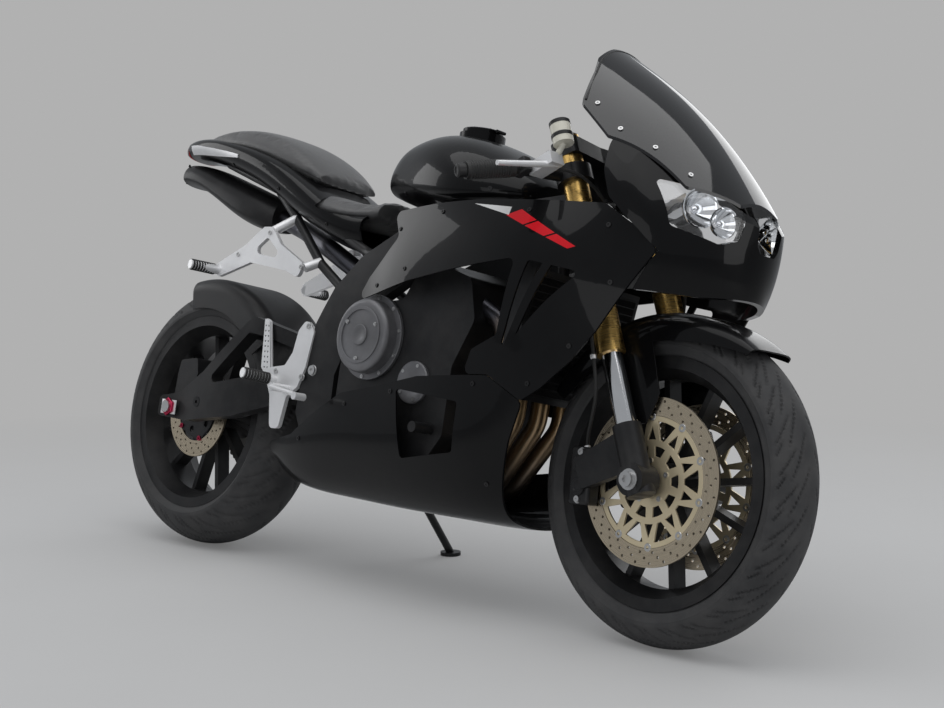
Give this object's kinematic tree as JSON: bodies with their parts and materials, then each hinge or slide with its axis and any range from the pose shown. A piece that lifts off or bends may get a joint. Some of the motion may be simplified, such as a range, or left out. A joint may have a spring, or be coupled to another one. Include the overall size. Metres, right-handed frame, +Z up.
{
  "type": "sport motorcycle",
  "caption": "Fully faired black sport motorcycle on its side stand, with working steering, turning wheels and a folding stand.",
  "frame": {"origin": "centre of the bounding box on the floor, with the machine parked on its side stand", "axes": "+X forward along the machine, +Y to its left, +Z up; the machine leans 11.7 degrees to its left"},
  "size_m": [1.9882, 0.687, 1.1216],
  "materials": {
    "black_metal": "satin",
    "bright_steel": "brushed",
    "chain_steel": "oiled",
    "clear_lens": "gloss",
    "dark_grey_metal": "satin",
    "exhaust_steel": "heat stained",
    "gloss_black": "gloss",
    "gold_anodised": "satin",
    "red_lens": "gloss",
    "satin_black": "satin",
    "seat_vinyl": "matte grained",
    "silver_aluminium": "satin",
    "smoked_screen": "gloss",
    "soft_rubber": "matte",
    "tyre_rubber": "matte",
    "white_plastic": "satin"
  },
  "bodies": {
    "chassis": {"alternator_cover": "dark_grey_metal", "belly_pan": "satin_black", "clutch_cover": "dark_grey_metal", "cowl_stay": "black_metal", "drive_chain": "chain_steel", "engine_block": "black_metal", "exhaust_header": "exhaust_steel", "exhaust_muffler": "black_metal", "fairing_stays": "black_metal", "foot_levers": "silver_aluminium", "footpeg_hangers": "silver_aluminium", "frame_cross_tubes": "black_metal", "frame_head": "black_metal", "frame_spars": "black_metal", "front_sprocket": "bright_steel", "fuel_tank": "gloss_black", "headlights": "clear_lens", "instrument_panel": "satin_black", "nose_cowl": "gloss_black", "pillion_brackets": "silver_aluminium", "pillion_seat": "seat_vinyl", "pivot_bolt": "bright_steel", "radiator": "black_metal", "rear_axle": "bright_steel", "rear_caliper": "black_metal", "rear_mudguard": "satin_black", "rider_seat": "seat_vinyl", "shock_absorber": "black_metal", "side_fairing_left": "gloss_black", "side_fairing_right": "gloss_black", "sprocket_cover": "dark_grey_metal", "stand_bracket": "black_metal", "subframe": "black_metal", "swingarm": "black_metal", "swingarm_cross": "black_metal", "tail_cowl": "gloss_black", "tail_light": "red_lens", "windscreen": "smoked_screen"},
    "front_wheel": {"front_tyre": "tyre_rubber", "front_rim": "black_metal", "front_discs": "bright_steel", "front_disc_carriers": "gold_anodised"},
    "rear_wheel": {"rear_tyre": "tyre_rubber", "rear_rim": "black_metal", "rear_disc": "bright_steel", "rear_sprocket": "bright_steel"},
    "steering": {"fork_outer_tubes": "gold_anodised", "fork_sliders": "bright_steel", "axle_clamps": "black_metal", "front_calipers": "black_metal", "front_axle": "bright_steel", "triple_clamps": "black_metal", "handlebars": "black_metal", "grips": "soft_rubber", "hand_levers": "silver_aluminium", "brake_reservoir": "white_plastic", "front_mudguard": "gloss_black"},
    "side_stand": {"side_stand": "black_metal"},
    "fuel_cap": {"fuel_cap": "gloss_black"}
  },
  "joints": [
    {"name": "steering_turn", "type": "hinge", "parent": "chassis", "child": "steering", "pos_m": [0.43898, -0.00929, 0.78104], "axis": [-0.4068, 0.1853, 0.8945], "range_deg": [-20.5, 27.5]},
    {"name": "front_wheel_spin", "type": "hinge", "parent": "steering", "child": "front_wheel", "pos_m": [0.69482, -0.11157, 0.29693], "axis": [0.0558, 0.9824, -0.1781], "continuous": true},
    {"name": "rear_wheel_spin", "type": "hinge", "parent": "chassis", "child": "rear_wheel", "pos_m": [-0.68012, -0.10658, 0.31113], "axis": [0, 0.9792, -0.2028], "continuous": true},
    {"name": "side_stand_fold", "type": "hinge", "parent": "chassis", "child": "side_stand", "pos_m": [-0.11811, 0.00962, 0.18193], "axis": [-0.1201, 0.7888, 0.6028], "range_deg": [0, 76]},
    {"name": "fuel_cap_lift", "type": "hinge", "parent": "chassis", "child": "fuel_cap", "pos_m": [0.12382, 0.0302, 0.97168], "axis": [0, 0.9792, -0.2028], "range_deg": [0, 95]}
  ]
}
